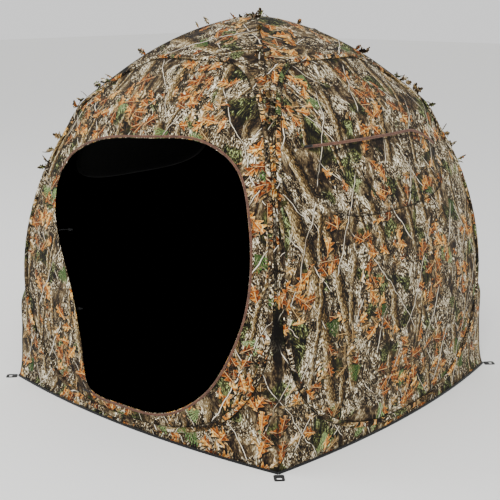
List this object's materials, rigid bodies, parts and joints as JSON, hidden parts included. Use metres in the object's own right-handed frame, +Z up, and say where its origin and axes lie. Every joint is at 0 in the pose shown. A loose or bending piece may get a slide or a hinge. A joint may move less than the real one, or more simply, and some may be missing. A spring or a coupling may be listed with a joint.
{
  "type": "pop up ground blind",
  "caption": "Square pop up hunting blind in camouflage cloth over spring steel hoops, with an open D-shaped door, drop-down windows, a pitched roof and stake loops.",
  "frame": {"origin": "on the ground under the peak of the roof, the middle of the base", "axes": "+Z up, -Y out through the door, +X towards the window wall on the door's right"},
  "size_m": [1.665, 1.665, 1.604],
  "materials": {
    "camo_cloth": "matt coated polyester printed with a woodland pattern, black inside",
    "brown_tape": "brown woven zip tape",
    "black_webbing": "black polyester webbing",
    "black_lining": "matt black coated inside face of the door cloth",
    "net": "fine dark netting",
    "leaf_cloth": "printed tape with cut-out leaves",
    "spring_steel": "tempered flat spring steel band",
    "zip_metal": "dark enamelled zinc"
  },
  "bodies": {
    "root": {"front_wall": "camo_cloth", "front_hoop_sleeve": "camo_cloth", "front_spring_hoop": "spring_steel", "front_roof_gore": "camo_cloth", "front_ground_hem": "black_webbing", "front_corner_gusset": "camo_cloth", "front_corner_leaf_tape": "leaf_cloth", "front_stake_loop": "black_webbing", "right_wall": "camo_cloth", "right_hoop_sleeve": "camo_cloth", "right_spring_hoop": "spring_steel", "right_roof_gore": "camo_cloth", "right_ground_hem": "black_webbing", "right_corner_gusset": "camo_cloth", "right_corner_leaf_tape": "leaf_cloth", "right_stake_loop": "black_webbing", "right_window_net": "net", "right_window_zip_tape": "brown_tape", "rear_wall": "camo_cloth", "rear_hoop_sleeve": "camo_cloth", "rear_spring_hoop": "spring_steel", "rear_roof_gore": "camo_cloth", "rear_ground_hem": "black_webbing", "rear_corner_gusset": "camo_cloth", "rear_corner_leaf_tape": "leaf_cloth", "rear_stake_loop": "black_webbing", "rear_window_net": "net", "rear_window_zip_tape": "brown_tape", "left_wall": "camo_cloth", "left_hoop_sleeve": "camo_cloth", "left_spring_hoop": "spring_steel", "left_roof_gore": "camo_cloth", "left_ground_hem": "black_webbing", "left_corner_gusset": "camo_cloth", "left_corner_leaf_tape": "leaf_cloth", "left_stake_loop": "black_webbing", "left_window_net": "net", "left_window_zip_tape": "brown_tape", "door_zip_tape": "brown_tape", "door_flap_roll": "black_lining", "lower_tie_loop": "black_webbing", "upper_tie_loop": "black_webbing", "crown_patch": "leaf_cloth"},
    "right_window_flap": {"right_window_flap": "camo_cloth"},
    "right_window_zip_slider": {"right_window_zip_slider": "zip_metal"},
    "right_window_zip_pull": {"right_window_zip_pull": "black_webbing"},
    "rear_window_flap": {"rear_window_flap": "camo_cloth"},
    "rear_window_zip_slider": {"rear_window_zip_slider": "zip_metal"},
    "rear_window_zip_pull": {"rear_window_zip_pull": "black_webbing"},
    "left_window_flap": {"left_window_flap": "camo_cloth"},
    "left_window_zip_slider": {"left_window_zip_slider": "zip_metal"},
    "left_window_zip_pull": {"left_window_zip_pull": "black_webbing"},
    "door_zip_slider": {"door_zip_slider": "zip_metal"},
    "door_zip_pull": {"door_zip_pull": "black_webbing"},
    "lower_tie_toggle": {"lower_tie_toggle": "black_webbing"},
    "upper_tie_toggle": {"upper_tie_toggle": "black_webbing"}
  },
  "joints": [
    {"name": "right_window_drop", "type": "hinge", "parent": "root", "child": "right_window_flap", "pos_m": [0.75626, 0, 0.8635], "axis": [0, 1, 0], "range_deg": [0, 165]},
    {"name": "right_window_zip_travel", "type": "hinge", "parent": "root", "child": "right_window_zip_slider", "pos_m": [-1.61401, 0, 1.14], "axis": [0, 0, 1], "range_deg": [0, 15.2]},
    {"name": "right_window_pull_turn", "type": "hinge", "parent": "right_window_zip_slider", "child": "right_window_zip_pull", "pos_m": [0.61988, -0.40175, 1.14449], "axis": [-0.4021, 0.0712, 0.9128], "range_deg": [0, 120]},
    {"name": "rear_window_drop", "type": "hinge", "parent": "root", "child": "rear_window_flap", "pos_m": [0, 0.75626, 0.8635], "axis": [-1, 0, 0], "range_deg": [0, 165]},
    {"name": "rear_window_zip_travel", "type": "hinge", "parent": "root", "child": "rear_window_zip_slider", "pos_m": [0, -1.61401, 1.14], "axis": [0, 0, 1], "range_deg": [0, 15.2]},
    {"name": "rear_window_pull_turn", "type": "hinge", "parent": "rear_window_zip_slider", "child": "rear_window_zip_pull", "pos_m": [0.40175, 0.61988, 1.14449], "axis": [-0.0712, -0.4021, 0.9128], "range_deg": [0, 120]},
    {"name": "left_window_drop", "type": "hinge", "parent": "root", "child": "left_window_flap", "pos_m": [-0.75626, 0, 0.8635], "axis": [0, -1, 0], "range_deg": [0, 165]},
    {"name": "left_window_zip_travel", "type": "hinge", "parent": "root", "child": "left_window_zip_slider", "pos_m": [1.61401, 0, 1.14], "axis": [0, 0, 1], "range_deg": [0, 15.2]},
    {"name": "left_window_pull_turn", "type": "hinge", "parent": "left_window_zip_slider", "child": "left_window_zip_pull", "pos_m": [-0.61988, 0.40175, 1.14449], "axis": [0.4021, -0.0712, 0.9128], "range_deg": [0, 120]},
    {"name": "door_zip_travel", "type": "slide", "parent": "root", "child": "door_zip_slider", "axis": [0.9953, -0.0382, -0.089], "range_m": [0, 0.12]},
    {"name": "door_pull_turn", "type": "hinge", "parent": "door_zip_slider", "child": "door_zip_pull", "pos_m": [-0.19655, -0.82502, 0.08941], "axis": [0.002, 0.0395, 0.9992], "range_deg": [0, 120]},
    {"name": "lower_toggle_turn", "type": "hinge", "parent": "root", "child": "lower_tie_toggle", "pos_m": [-0.38077, -0.70433, 0.3859], "axis": [0, 1, 0], "range_deg": [-90, 90]},
    {"name": "upper_toggle_turn", "type": "hinge", "parent": "root", "child": "upper_tie_toggle", "pos_m": [-0.49002, -0.65064, 0.70587], "axis": [0, 1, 0], "range_deg": [-90, 90]}
  ]
}
